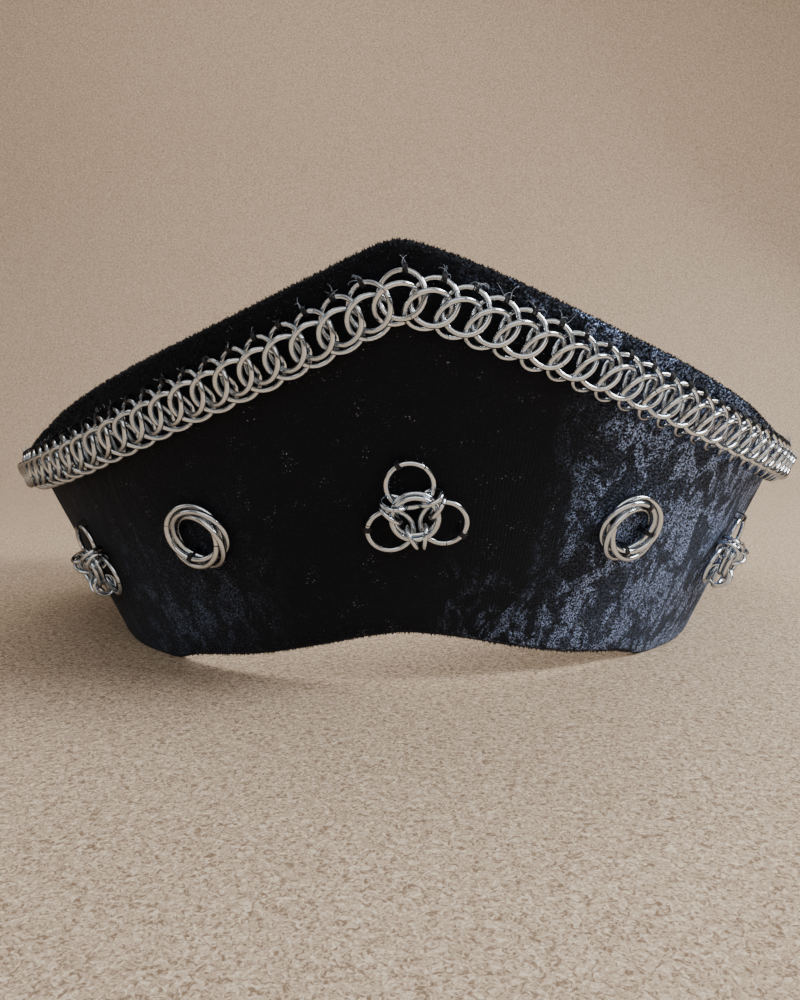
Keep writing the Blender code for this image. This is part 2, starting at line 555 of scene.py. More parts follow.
TOP_EDGE = Contour((
    (0, 104.5), (5, 99.3), (10, 94.3), (15, 89.6), (20, 85.3), (30, 77.7), (40, 70.7),
    (50, 64.2), (60, 59.9), (70, 58.0), (80, 57.6), (90, 57.6), (105, 56.5), (122, 54.4),
))
CHAIN_TOP = Contour((
    (0, 99.8), (5, 94.9), (10, 89.9), (15, 85.2), (20, 80.9), (30, 73.0), (40, 66.6),
    (50, 62.0), (60, 59.1), (70, 57.4), (80, 57.0), (90, 56.7), (105, 54.9), (122, 51.6),
), lean=1.1)
LOWER_EDGE = Contour((
    (0, 13.3), (7, 11.4), (14, 8.5), (22, 5.6), (30, 3.5), (38, 1.7), (46, -1.2), (60, -1.2), (122, -1.2),
))


@dataclass(frozen=True)
class Place:
    """A point with its directions along the band, up the wall and out of it."""

    origin: Vector
    along: Vector
    up: Vector
    out: Vector

    def point(self, along: float, up: float, out: float) -> Vector:
        """Turns local millimetres into a point in metres."""
        return self.origin + (self.along * along + self.up * up + self.out * out) * MM

    def direction(self, along: float, up: float, out: float) -> Vector:
        """Turns a local direction into one of length 1."""
        return (self.along * along + self.up * up + self.out * out).normalized()

    def turned(self, degrees: float) -> "Place":
        """Turns the place in the wall's plane."""
        c, s = math.cos(math.radians(degrees)), math.sin(math.radians(degrees))
        return Place(self.origin, self.along * c + self.up * s, self.up * c - self.along * s, self.out)


@dataclass(frozen=True)
class Wall:
    """The band's outer face, part of an ellipse in plan that grows with height. Sizes in millimetres."""

    half_width: float = 93.6
    half_depth: float = 74.2
    width_gain: float = 0.5956
    depth_gain: float = 0.8489
    shift_gain: float = 0.4630
    setback: float = 60.033
    rear_angle: float = 122.0

    def point(self, angle: float, height: float) -> Vector:
        """Finds a point of the outer face.

        Args:
            angle: degrees from the middle of the front.
            height: millimetres above the floor.

        Returns:
            The point in metres.
        """
        turn = math.radians(angle)
        wide = self.half_width + self.width_gain * height
        deep = self.half_depth + self.depth_gain * height
        back = self.half_depth + self.shift_gain * height - self.setback
        return Vector((wide * math.sin(turn), back - deep * math.cos(turn), height)) * MM

    def place(self, angle: float, height: float) -> Place:
        """Finds a point with its directions, along being level.

        Args:
            angle: degrees from the middle of the front.
            height: millimetres above the floor.

        Returns:
            The place.
        """
        along = (self.point(angle + 0.05, height) - self.point(angle - 0.05, height)).normalized()
        rise = self.point(angle, height + 0.05) - self.point(angle, height - 0.05)
        out = along.cross(rise).normalized()
        return Place(self.point(angle, height), along, out.cross(along).normalized(), out)

    def place_on(self, line: Contour, angle: float, reach: float = 1.4) -> Place:
        """Finds a point of a contour with its directions, along following the contour.

        Args:
            line: the contour.
            angle: degrees from the middle of the front.
            reach: degrees to each side over which the contour's slope is taken.

        Returns:
            The place.
        """
        flat = self.place(angle, line.at(angle))
        ahead = self.point(angle + reach, line.at(angle + reach))
        behind = self.point(angle - reach, line.at(angle - reach))
        step = ahead - behind
        along = (step - flat.out * step.dot(flat.out)).normalized()
        return Place(flat.origin, along, flat.out.cross(along).normalized(), flat.out)


# Mesh helpers


def new_piece(name: str, mesh: Mesh, finish: Material | None = None) -> Object:
    """Puts a mesh into the scene.

    Args:
        name: the piece's name.
        mesh: its mesh, with the piece's place in it.
        finish: its material, or None where the mesh has one.

    Returns:
        The object.
    """
    made = bpy.data.objects.new(name, mesh)
    if finish is not None:
        mesh.materials.clear()
        mesh.materials.append(finish)
    bpy.context.scene.collection.objects.link(made)
    return made


def tube(shape: BMesh, path: list[Vector], radius: float, sides: int, taper: float = 1.0) -> None:
    """Adds a closed round tube along a path.

    Args:
        shape: the mesh that it goes into.
        path: its centre line.
        radius: its radius in metres.
        sides: the number of its sides.
        taper: the share of the radius that is left at its far end.
    """
    rings = []
    side = None
    for i, point in enumerate(path):
        ahead = (path[min(i + 1, len(path) - 1)] - path[max(i - 1, 0)]).normalized()
        if side is None:
            side = ahead.orthogonal().normalized()
        side = (side - ahead * side.dot(ahead)).normalized()
        other = ahead.cross(side)
        size = radius * (1 + (taper - 1) * i / (len(path) - 1))
        ring = []
        for k in range(sides):
            turn = 2 * math.pi * k / sides
            ring.append(shape.verts.new(point + (side * math.cos(turn) + other * math.sin(turn)) * size))
        rings.append(ring)
    for first, second in zip(rings, rings[1:]):
        for k in range(sides):
            n = (k + 1) % sides
            shape.faces.new((first[k], first[n], second[n], second[k])).smooth = True
    shape.faces.new(list(reversed(rings[0])))
    shape.faces.new(rings[-1])


def piece_from(shape: BMesh, name: str, finish: Material) -> Object:
    """Puts a bmesh into the scene as a piece, and frees it.

    Args:
        shape: the bmesh.
        name: the piece's name.
        finish: its material.

    Returns:
        The object.
    """
    mesh = bpy.data.meshes.new(name)
    shape.to_mesh(mesh)
    shape.free()
    return new_piece(name, mesh, finish)


def layout_mesh(name: str, spots: list[tuple[Vector, Quaternion]]) -> Mesh:
    """Makes a mesh of loose points, each with a turn.

    Args:
        name: the mesh's name.
        spots: each point's place and turn.

    Returns:
        The mesh, with the turns in the attribute "turn".
    """
    mesh = bpy.data.meshes.new(name)
    mesh.from_pydata([tuple(spot[0]) for spot in spots], [], [])
    turns = mesh.attributes.new("turn", "QUATERNION", "POINT")
    turns.data.foreach_set("value", [part for spot in spots for part in spot[1]])
    return mesh


class GrownTree:
    """A Geometry Nodes tree with named inputs, run once on a piece and then baked into its mesh."""

    def __init__(self, name: str, inputs: dict[str, object]) -> None:
        """Starts the tree.

        Args:
            name: the tree's name.
            inputs: the inputs' values by name: a float, a whole number or a material.
        """
        self.tree = bpy.data.node_groups.new(name, "GeometryNodeTree")
        self.bench = NodeBench(self.tree)
        self.values = inputs
        self.tree.interface.new_socket("Geometry", in_out="INPUT", socket_type="NodeSocketGeometry")
        for key, value in inputs.items():
            kind = {float: "Float", int: "Int"}.get(type(value), "Material")
            self.tree.interface.new_socket(key, in_out="INPUT", socket_type=f"NodeSocket{kind}")
        self.tree.interface.new_socket("Geometry", in_out="OUTPUT", socket_type="NodeSocketGeometry")
        self.entry = self.tree.nodes.new("NodeGroupInput")

    def given(self, key: str) -> Signal:
        """Gives one of the tree's inputs."""
        return Signal(self.bench, self.entry.outputs[key])

    def chance(self, kind: str, low: object, high: object, step: float = 0.0) -> Signal:
        """Draws a random value for each point or instance.

        Args:
            kind: the value's data type.
            low: its lower end.
            high: its upper end.
            step: what is added to the tree's seed.

        Returns:
            The value.
        """
        ends = {"Min": low, "Max": high, "Seed": self.given("Seed") + step}
        return self.bench.add("FunctionNodeRandomValue", {"data_type": kind}, ends, "Value")

    def close(self, result: Signal) -> None:
        """Realizes what grew, sets its material and links it to the output.

        Args:
            result: the geometry with its instances.
        """
        real = self.bench.add("GeometryNodeRealizeInstances", {}, {0: result})
        dressed = self.bench.add("GeometryNodeSetMaterial", {}, {0: real, "Material": self.given("Finish")})
        self.bench.add("NodeGroupOutput", {}, {0: dressed})

    def bake(self, piece: Object) -> Object:
        """Runs the tree on a piece and leaves it with the plain mesh that grew.

        Args:
            piece: the object whose mesh is the layout.

        Returns:
            The same object.
        """
        run = piece.modifiers.new("Grown", "NODES")
        run.node_group = self.tree
        for item in self.tree.interface.items_tree:
            if item.item_type == "SOCKET" and item.in_out == "INPUT" and item.name in self.values:
                run[item.identifier] = self.values[item.name]
        graph = bpy.context.evaluated_depsgraph_get()
        grown = bpy.data.meshes.new_from_object(piece.evaluated_get(graph))
        grown.name = piece.name
        piece.modifiers.clear()
        piece.data = grown
        return piece


@dataclass(frozen=True)
class RingWire:
    """A ring of round wire, bent until its two ends nearly meet. Sizes in millimetres."""

    radius: float
    wire: float
    seam: float = 0.16
    segments: int = 32
    sides: int = 8

    def grow(self, name: str, layout: Mesh, finish: Material, seed: int) -> Object:
        """Bends one ring at each point of a layout.

        Args:
            name: the piece's name.
            layout: points with turns.
            finish: the rings' material.
            seed: the seed of the rings' tones.

        Returns:
            The piece.
        """
        seam = 2.0 * math.asin(self.seam / 2.0 / self.radius)
        tree = GrownTree(
            "bend wire rings",
            {
                "Radius": self.radius * MM,
                "Wire": self.wire * MM,
                "Sweep": 2.0 * math.pi - seam,
                "Segments": self.segments + 1,
                "Sides": self.sides,
                "Seed": seed,
                "Finish": finish,
            },
        )
        add, given = tree.bench.add, tree.given
        bow = {"Resolution": given("Segments"), "Radius": given("Radius"), "Sweep Angle": given("Sweep")}
        line = add("GeometryNodeCurveArc", {"mode": "RADIUS"}, bow | {"Start Angle": seam / 2.0})
        round_wire = {"Resolution": given("Sides"), "Radius": given("Wire")}
        section = add("GeometryNodeCurvePrimitiveCircle", {"mode": "RADIUS"}, round_wire)
        sweep = {"Curve": line, "Profile Curve": section, "Fill Caps": True}
        ring = add("GeometryNodeCurveToMesh", {}, sweep)
        turn = add("GeometryNodeInputNamedAttribute", {"data_type": "QUATERNION"}, {"Name": "turn"})
        spread = {"Points": given("Geometry"), "Instance": ring, "Rotation": turn}
        placed = add("GeometryNodeInstanceOnPoints", {}, spread)
        mark = {"Geometry": placed, "Name": "ring_tone", "Value": tree.chance("FLOAT", 0.0, 1.0)}
        kind = {"data_type": "FLOAT", "domain": "INSTANCE"}
        tree.close(add("GeometryNodeStoreNamedAttribute", kind, mark))
        piece = tree.bake(new_piece(name, layout))
        for face in piece.data.polygons:
            face.use_smooth = len(face.vertices) == 4
        return piece


def ring_turn(facing: Vector, spin: float) -> Quaternion:
    """Gives the turn of a ring that faces a direction, with its seam at an angle round it."""
    return facing.to_track_quat("Z", "Y") @ Quaternion((0.0, 0.0, 1.0), spin)


# Sub-assemblies


@dataclass
class VelvetBand:
    """The stiff band, covered in velvet inside and out. Sizes in millimetres."""

    wall: Wall
    finish: Material
    thickness: float = 3.0
    columns: int = 300
    rows: int = 26
    rounding: int = 7
    end_columns: int = 5
    ripple: float = 0.22
    tuck: float = 0.35
    mm_per_degree: float = 2.15
    crease_at: tuple[float, float] = (62.5, 45.0)
    crease_depth: float = 0.55

    def section(self, angle: float, inset: float, squeeze: float) -> list[tuple[Vector, float, float]]:
        """Finds one closed section of the band.

        Args:
            angle: degrees from the middle of the front.
            inset: millimetres by which the section is smaller at its top and bottom.
            squeeze: the share of the thickness that is left.

        Returns:
            The section's points, each with its path length and its distance below the top edge.
        """
        low, high = LOWER_EDGE.at(angle), TOP_EDGE.at(angle)
        foot, head = self.wall.point(angle, low), self.wall.point(angle, high)
        rise = head - foot
        length = rise.length / MM
        out = self.wall.place(angle, (low + high) / 2).out
        half = self.thickness / 2
        spots = []
        for side, start, end, off in ((1, half, length - half, 0.0), (-1, length - half, half, -2 * half)):
            for k in range(self.rows + 1):
                spots.append((start + (end - start) * k / self.rows, off))
            for k in range(1, self.rounding):
                turn = math.pi * k / self.rounding
                spots.append((end + side * half * math.sin(turn), -half + side * half * math.cos(turn)))
        found, path, last = [], 0.0, None
        for rise_mm, off in spots:
            if last is not None:
                path += math.hypot(rise_mm - last[0], off - last[1])
            last = (rise_mm, off)
            share = rise_mm + inset * (1 - 2 * rise_mm / length)
            depth = -half + (off + half) * squeeze
            depth -= self.ripple_at(angle, rise_mm) if off > -half else -self.ripple_at(angle + 200, rise_mm)
            point = foot + rise * (share / length) + out * depth * MM
            point.z = max(point.z, 0.0)
            found.append((point, half + path, length - rise_mm))
        return found

    def ripple_at(self, angle: float, rise: float) -> float:
        """Gives how far the cloth sinks at a place, in millimetres.

        Args:
            angle: degrees from the middle of the front.
            rise: millimetres up the wall.

        Returns:
            The depth, never below 0.
        """
        wave = math.sin(angle * 0.31 + rise * 0.05) * math.sin(rise * 0.13 - angle * 0.07)
        fine = math.sin(angle * 1.7 + 2.0 * math.sin(rise * 0.21)) * 0.5
        aside, above = angle - self.crease_at[0], rise - self.crease_at[1]
        crease = math.exp(-(((aside - above * 0.06) / 0.9) ** 2) - ((above - 3) / 14) ** 2)
        return self.ripple * (0.75 + 0.5 * wave + 0.25 * fine) + self.crease_depth * crease

    def build(self) -> Object:
        """Builds the band and puts it in place of its solid.

        Returns:
            The piece.
        """
        half, rear = self.thickness / 2, self.wall.rear_angle
        stations = []
        for k in range(self.end_columns):
            turn = math.pi / 2 * (k + 0.35) / self.end_columns
            stations.append((rear - half * (1 - math.sin(turn)) / self.mm_per_degree, math.cos(turn)))
        ends = [(angle, squeeze) for angle, squeeze in reversed(stations)]
        inner = rear - half / self.mm_per_degree
        middle = [(-inner + 2 * inner * k / self.columns, 1.0) for k in range(self.columns + 1)]
        line = [(-angle, squeeze) for angle, squeeze in ends] + middle + list(reversed(ends))

        shape = bmesh.new()
        cloth = shape.loops.layers.uv.new("cloth")
        below = shape.verts.layers.float.new("below_top")
        pile = shape.verts.layers.float.new("pile")
        outer = shape.verts.layers.float.new("outer_face")
        lines, lengths, total, before = [], [], 0.0, None
        for angle, squeeze in line:
            spots = self.section(angle, self.tuck + half * (1 - squeeze), squeeze)
            centre = self.wall.point(angle, 50.0)
            total += 0.0 if before is None else (centre - before).length
            before = centre
            row = []
            for index, (point, _, depth) in enumerate(spots):
                vert = shape.verts.new(point)
                vert[below] = depth
                vert[pile] = self.pile_at(index, depth, squeeze) if point.z > 0.0015 else 0.0
                vert[outer] = 1.0 if index <= self.rows + self.rounding // 2 else 0.0
                row.append(vert)
            lines.append((row, [spot[1] for spot in spots]))
            lengths.append(total)
        count = len(lines[0][0])
        for i in range(len(lines) - 1):
            (first, first_path), (second, second_path) = lines[i], lines[i + 1]
            for k in range(count):
                n = (k + 1) % count
                face = shape.faces.new((first[k], second[k], second[n], first[n]))
                face.smooth = True
                wrap = first_path[-1] + 1.0
                marks = (
                    (lengths[i], first_path[k]),
                    (lengths[i + 1], second_path[k]),
                    (lengths[i + 1], second_path[n] if n else wrap),
                    (lengths[i], first_path[n] if n else wrap),
                )
                for loop, (u, v) in zip(face.loops, marks):
                    loop[cloth].uv = (u - total / 2, v * MM)
        for row, flip in ((lines[0][0], False), (lines[-1][0], True)):
            self.close_end(shape, row, flip)
        bmesh.ops.recalc_face_normals(shape, faces=shape.faces)
        piece = piece_from(shape, "band_cover", self.finish)
        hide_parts("velvet_band")
        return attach(piece, "root")

    def pile_at(self, index: int, depth: float, squeeze: float) -> float:
        """Gives the share of loose pile hairs at a point of a section.

        Args:
            index: the point's number in the section.
            depth: millimetres below the top edge.
            squeeze: the share of the thickness that is left there.

        Returns:
            The share, from 0 to 1.
        """
        caps = range(self.rows + 1, self.rows + self.rounding)
        if index in caps or depth < 2.0:
            return 1.0
        if squeeze < 1.0:
            return 0.7
        foot = 2 * self.rows + self.rounding + 1
        return 0.5 if index > foot or index == 0 else 0.0

    def close_end(self, shape: BMesh, row: list[BMVert], flip: bool) -> None:
        """Closes a rear end with faces from the outer wall to the inner one.

        Args:
            shape: the band's mesh.
            row: the end's section.
            flip: whether the faces turn the other way.
        """
        n, m = self.rows, self.rounding
        faces = []
        for k in range(n):
            inner = n + m + (n - k)
            faces.append((row[k], row[k + 1], row[inner - 1], row[inner]))
        faces += [row[n : n + m + 1], row[2 * n + m :] + row[0:1]]
        for corners in faces:
            shape.faces.new(list(reversed(corners)) if flip else list(corners)).smooth = True


@dataclass
class PileTrim:
    """Loose pile hairs that stand off the velvet's edges. Sizes in millimetres."""

    finish: Material
    per_square_mm: float = 4.2
    length: float = 0.58
    width: float = 0.42
    seed: int = 11

    def build(self, band: Object) -> Object:
        """Grows the hairs on the band's mesh.

        Args:
            band: the band's cover, whose mesh has the attribute "pile".

        Returns:
            The piece.
        """
        tree = GrownTree(
            "grow pile hairs",
            {
                "Density": self.per_square_mm / MM / MM,
                "Length": self.length * MM,
                "Width": self.width * MM,
                "Seed": self.seed,
                "Finish": self.finish,
            },
        )
        add, given = tree.bench.add, tree.given
        share = add("GeometryNodeInputNamedAttribute", {"data_type": "FLOAT"}, {"Name": "pile"})
        density = share * given("Density")
        spread = {"Mesh": given("Geometry"), "Density": density, "Seed": given("Seed")}
        points = add("GeometryNodeDistributePointsOnFaces", {"distribute_method": "RANDOM"}, spread)
        upright = NodeBench.pick(points.socket.node.outputs, "Rotation")
        foot = given("Width") * 0.5
        cone = {"Vertices": 3, "Radius Top": 0.0, "Radius Bottom": foot, "Depth": given("Length")}
        hair = add("GeometryNodeMeshCone", {"fill_type": "NGON"}, cone)
        lean = tree.chance("FLOAT_VECTOR", (-0.65, -0.65, 0.0), (0.65, 0.65, 6.28), 1.0)
        lean = add("FunctionNodeEulerToRotation", {}, {0: lean})
        turns = {"Rotation": Signal(tree.bench, upright), "Rotate By": lean}
        turned = add("FunctionNodeRotateRotation", {"rotation_space": "LOCAL"}, turns)
        size = tree.chance("FLOAT", 0.45, 1.25, 2.0)
        grown = {"Points": points, "Instance": hair, "Rotation": turned, "Scale": size}
        placed = add("GeometryNodeInstanceOnPoints", {}, grown)
        tree.close(placed)
        piece = tree.bake(new_piece("band_edge_pile", band.data.copy()))
        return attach(piece, "root")


@dataclass
class RingChain:
    """The two-row chain along the top edge: each lower ring holds two of the upper row."""

    wall: Wall
    finish: Material
    ring: RingWire = RingWire(4.85, 0.62, 0.14, 32, 8)
    halves: int = 41
    end_angle: float = 119.4
    steps: int = 1200
    slope_reach: float = 1.8
    middle: Triple = (0.0, -6.3, 3.2)
    upper: tuple[Triple, Triple] = ((-1.1, -5.3, 3.21), (-0.281, 0.323, 0.904))
    lower: tuple[Triple, Triple] = ((-1.9, -7.3, 3.21), (0.281, -0.323, 0.904))
    shake: float = 0.06
    tilt: float = 0.025
    seed: int = 5

    def stations(self) -> list[Place]:
        """Spaces the columns evenly along the chain's middle line.

        Returns:
            The columns' places on the line of the ring tops, from left to right.
        """
        found, steps = [], self.steps
        for side in (-1, 1):
            angles = [side * self.end_angle * k / steps for k in range(steps + 1)]
            line = [self.wall.place_on(CHAIN_TOP, angle, self.slope_reach) for angle in angles]
            spots = [place.point(*self.middle) for place in line]
            reach = [0.0]
            for first, second in zip(spots, spots[1:]):
                reach.append(reach[-1] + (second - first).length)
            for n in range(self.halves + 1) if side > 0 else range(self.halves, 0, -1):
                want = reach[-1] * n / self.halves
                k = min(max(bisect.bisect_left(reach, want), 1), steps)
                share = (want - reach[k - 1]) / max(reach[k] - reach[k - 1], 1e-12)
                angle = angles[k - 1] + (angles[k] - angles[k - 1]) * share
                found.append(self.wall.place_on(CHAIN_TOP, angle, self.slope_reach))
            LOG.info("chain pitch on one side: %.2f mm", reach[-1] / self.halves / MM)
        return found

    def build(self) -> Object:
        """Builds the chain and puts it in place of its solid.

        Returns:
            The piece.
        """
        chance = random.Random(self.seed)
        spots = []
        for index, place in enumerate(self.stations()):
            for row, (centre, facing) in enumerate((self.upper, self.lower)):
                if row and not index:
                    continue
                shake = [chance.uniform(-self.shake, self.shake) for _ in range(3)]
                lean = [chance.uniform(-self.tilt, self.tilt) for _ in range(3)]
                point = place.point(*(a + b for a, b in zip(centre, shake)))
                towards = place.direction(*(a + b for a, b in zip(facing, lean)))
                spots.append((point, ring_turn(towards, chance.uniform(0.0, 2 * math.pi))))
        piece = self.ring.grow("edge_chain_rings", layout_mesh("chain_layout", spots), self.finish, self.seed)
        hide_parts("ring_chain")
        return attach(piece, "root")


LINK_RING = RingWire(3.0, 0.54, 0.16, 32, 10)
TREFOIL_RING = RingWire(5.35, 0.66, 0.2, 48, 10)
ROSETTE_RING = RingWire(7.2, 0.73, 0.2, 48, 10)


def rosette_rows(hand: int, offset: float = 1.35, stand_off: float = 2.35) -> tuple[tuple, ...]:
    """Lays four large rings so that they interlock round one point.

    Args:
        hand: 1 or -1, one the other's mirror image.
        offset: the distance of their centres from the middle.
        stand_off: the distance of their centres from the wall.

    Returns:
        Each ring's suffix, False as none is small, its centre and the direction it faces.
    """
    tilt = math.asin(offset / ROSETTE_RING.radius)
    rows = []
    for quarter in range(4):
        along, up = math.cos(quarter * math.pi / 2), math.sin(quarter * math.pi / 2)
        centre = (hand * offset * along, offset * up, stand_off)
        facing = (-hand * math.sin(tilt) * up, math.sin(tilt) * along, math.cos(tilt))
        rows.append((f"ring_{quarter + 1}", False, centre, facing))
    return tuple(rows)


class OrnamentKind(Enum):
    """The ring ornaments: each ring's suffix, whether it is small, its centre and the direction it faces."""

    TREFOIL = (
        ("outer_top", False, (-0.07, 6.98, 2.40), (0.01, 0.08, 1.0)),
        ("outer_left", False, (-6.24, -3.60, 2.53), (0.03, -0.05, 1.0)),
        ("outer_right", False, (6.16, -3.59, 2.63), (-0.03, 0.03, 1.0)),
        ("core_inner", False, (0.10, 0.37, 4.07), (0.01, 0.0, 1.0)),
        ("core_outer", False, (-0.04, -0.03, 5.49), (0.01, 0.0, 1.0)),
        ("link_top_right", True, (4.19, 4.09, 3.91), (-0.29, 0.95, 0.09)),
        ("link_top_left", True, (-4.25, 4.06, 3.99), (-0.29, -0.95, -0.09)),
        ("link_left_top", True, (-5.42, 1.31, 3.89), (-0.74, -0.67, 0.07)),
        ("link_left_low", True, (-1.40, -5.41, 3.85), (0.95, 0.32, -0.04)),
        ("link_right_low", True, (1.58, -5.63, 3.94), (0.97, -0.23, 0.08)),
        ("link_right_top", True, (5.45, 1.36, 3.85), (-0.74, 0.67, -0.07)),
    )
    ROSETTE = rosette_rows(1)
    MIRRORED_ROSETTE = rosette_rows(-1)


@dataclass
class RingOrnament:
    """One ornament of linked rings, sewn to the front of the band."""

    name: str
    kind: OrnamentKind
    angle: float
    height: float
    turn: float
    ties: tuple[tuple[str, float], ...] = ()

    def place(self, wall: Wall) -> Place:
        """Finds the ornament's middle on the wall, with its turn."""
        return wall.place(self.angle, self.height).turned(self.turn)

    def wire_for(self, small: bool) -> RingWire:
        """Gives the wire of its small or large rings."""
        large = TREFOIL_RING if self.kind is OrnamentKind.TREFOIL else ROSETTE_RING
        return LINK_RING if small else large

    def tie_places(self, wall: Wall) -> list[tuple[Place, float]]:
        """Finds where the thread goes over the wires.

        Args:
            wall: the band's outer face.

        Returns:
            The places under the wires, with along down the wire, and each wire's distance off the wall.
        """
        place, found = self.place(wall), []
        for suffix, degrees in self.ties:
            _, small, centre, facing = next(row for row in self.kind.value if row[0] == suffix)
            axis = Vector(facing).normalized()
            turn = math.radians(degrees)
            aside = Vector((math.cos(turn), math.sin(turn), 0.0))
            aside = (aside - axis * aside.dot(axis)).normalized()
            spot = Vector(centre) + aside * self.wire_for(small).radius
            under = Place(place.point(spot.x, spot.y, 0.0), place.along, place.up, place.out)
            found.append((under.turned(degrees - 90.0), spot.z))
        return found

    def build(self, wall: Wall, finish: Material, seed: int) -> list[Object]:
        """Builds the rings in place of their solids.

        Args:
            wall: the band's outer face.
            finish: the rings' material.
            seed: the seed of seams and tones.

        Returns:
            The pieces, one for each size of ring.
        """
        chance = random.Random(seed)
        place = self.place(wall)
        made = []
        for small, word in ((False, "rings"), (True, "links")):
            rows = [row for row in self.kind.value if row[1] is small]
            if not rows:
                continue
            spots = []
            for _, _, centre, facing in rows:
                towards = place.direction(*facing)
                spots.append((place.point(*centre), ring_turn(towards, chance.uniform(0.0, 2 * math.pi))))
            name = f"{self.name}_{word}"
            piece = self.wire_for(small).grow(name, layout_mesh(f"{name}_layout", spots), finish, seed)
            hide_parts(*(f"{self.name}_{row[0]}" for row in rows))
            made.append(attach(piece, "root"))
        return made


@dataclass
class ThreadTies:
    """The sewing: turns of thread over the upper rings and the ornaments. Sizes in millimetres."""

    wall: Wall
    finish: Material
    # Material of the loose ends: black thread given a pale blue-white colour, painted glints.
    pale: Material
    radius: float = 0.15
    chain_turns: tuple[float, ...] = (-0.42, -0.14, 0.14, 0.42)
    chain_middle: float = -0.64
    chain_top: float = 2.56
    chain_rise: float = 0.31
    chain_near: float = 0.30
    chain_far: float = -1.65
    ornament_turns: tuple[float, ...] = (-0.42, -0.12, 0.17, 0.45)
    ornament_reach: float = 0.98
    wire_cover: float = 0.72
    end_radius: float = 0.09
    end_steps: int = 6
    seed: int = 23

    @staticmethod
    def arch(place: Place, near: float, far: float, top: float, aside: float, sides: int = 5) -> list[Vector]:
        """Finds the line of one turn of thread over a wire.

        Args:
            place: a point of the wall under the wire.
            near: where the thread comes out of the velvet, up the wall.
            far: where it goes in again.
            top: how far off the wall it passes over the wire.
            aside: its place along the wire.
            sides: the number of points in its round top, less one.

        Returns:
            The points.
        """
        middle, half = (near + far) / 2, (near - far) / 2
        root = -0.4
        line = [place.point(aside * 1.5, near, root)]
        for k in range(sides + 1):
            turn = math.pi * k / sides
            up, out = middle + half * math.cos(turn), top - half + half * math.sin(turn)
            line.append(place.point(aside, up, out))
        line.append(place.point(aside * 1.5, far, root))
        return line

    def build_chain_ties(self, stations: list[Place]) -> Object:
        """Winds the thread over the top of every upper ring.

        Args:
            stations: the chain's columns on the line of the ring tops.

        Returns:
            The piece.
        """
        chance = random.Random(self.seed)
        shape = bmesh.new()
        for place in stations:
            middle = self.chain_middle + chance.uniform(-0.15, 0.15)
            for turn in self.chain_turns:
                aside = middle + turn + chance.uniform(-0.06, 0.06)
                near = self.chain_near + chance.uniform(-0.1, 0.15)
                far = self.chain_far + chance.uniform(-0.15, 0.1)
                top = self.chain_top + self.chain_rise * (aside - self.chain_middle)
                top += chance.uniform(-0.05, 0.08)
                tube(shape, self.arch(place, near, far, top, aside), self.radius * MM, 5)
        piece = piece_from(shape, "chain_ties", self.finish)
        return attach(piece, "root")

    def build_ornament_ties(self, ornaments: list[RingOrnament]) -> Object:
        """Winds the thread over the ornaments' rings.

        Args:
            ornaments: the ornaments, each with the places of its ties.

        Returns:
            The piece.
        """
        chance = random.Random(self.seed + 1)
        shape = bmesh.new()
        for ornament in ornaments:
            for place, off in ornament.tie_places(self.wall):
                for aside in self.ornament_turns:
                    near = self.ornament_reach + chance.uniform(-0.08, 0.1)
                    far = -self.ornament_reach + chance.uniform(-0.1, 0.08)
                    line = self.arch(place, near, far, off + self.wire_cover + self.radius, aside)
                    tube(shape, line, self.radius * MM, 5)
        piece = piece_from(shape, "ornament_ties", self.finish)
        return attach(piece, "root")

    def build_loose_ends(self, stations: list[Place]) -> Object:
        """Adds the frayed thread ends and small stray stitches above the chain.

        Args:
            stations: the chain's columns on the line of the ring tops.

        Returns:
            The piece.
        """
        chance = random.Random(self.seed + 2)
        shape = bmesh.new()
        middle = len(stations) // 2
        for index, place in enumerate(stations):
            near_peak = math.exp(-(((index - middle - 2) / 5.0) ** 2))
            for _ in range(1 + int(chance.random() < 0.4) + int(3.2 * near_peak)):
                length = chance.uniform(0.8, 2.0) * (1 + 0.7 * near_peak)
                heading = chance.uniform(0.2, math.pi - 0.2)
                spot = [chance.uniform(-1.5, 0.1), chance.uniform(-0.3, 0.5), chance.uniform(0.7, 3.2)]
                line = [place.point(*spot)]
                bend, sink = chance.uniform(-0.5, 0.5), chance.uniform(-0.5, 0.05)
                step = length / self.end_steps
                for _ in range(self.end_steps):
                    heading += bend + chance.uniform(-0.25, 0.25)
                    spot[0] += math.cos(heading) * step
                    spot[1] += math.sin(heading) * step
                    spot[2] = max(spot[2] + sink * step, 0.15)
                    line.append(place.point(*spot))
                tube(shape, line, self.end_radius * MM, 4, 0.6)
        piece = piece_from(shape, "thread_ends", self.pale)
        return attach(piece, "root")


# The studio


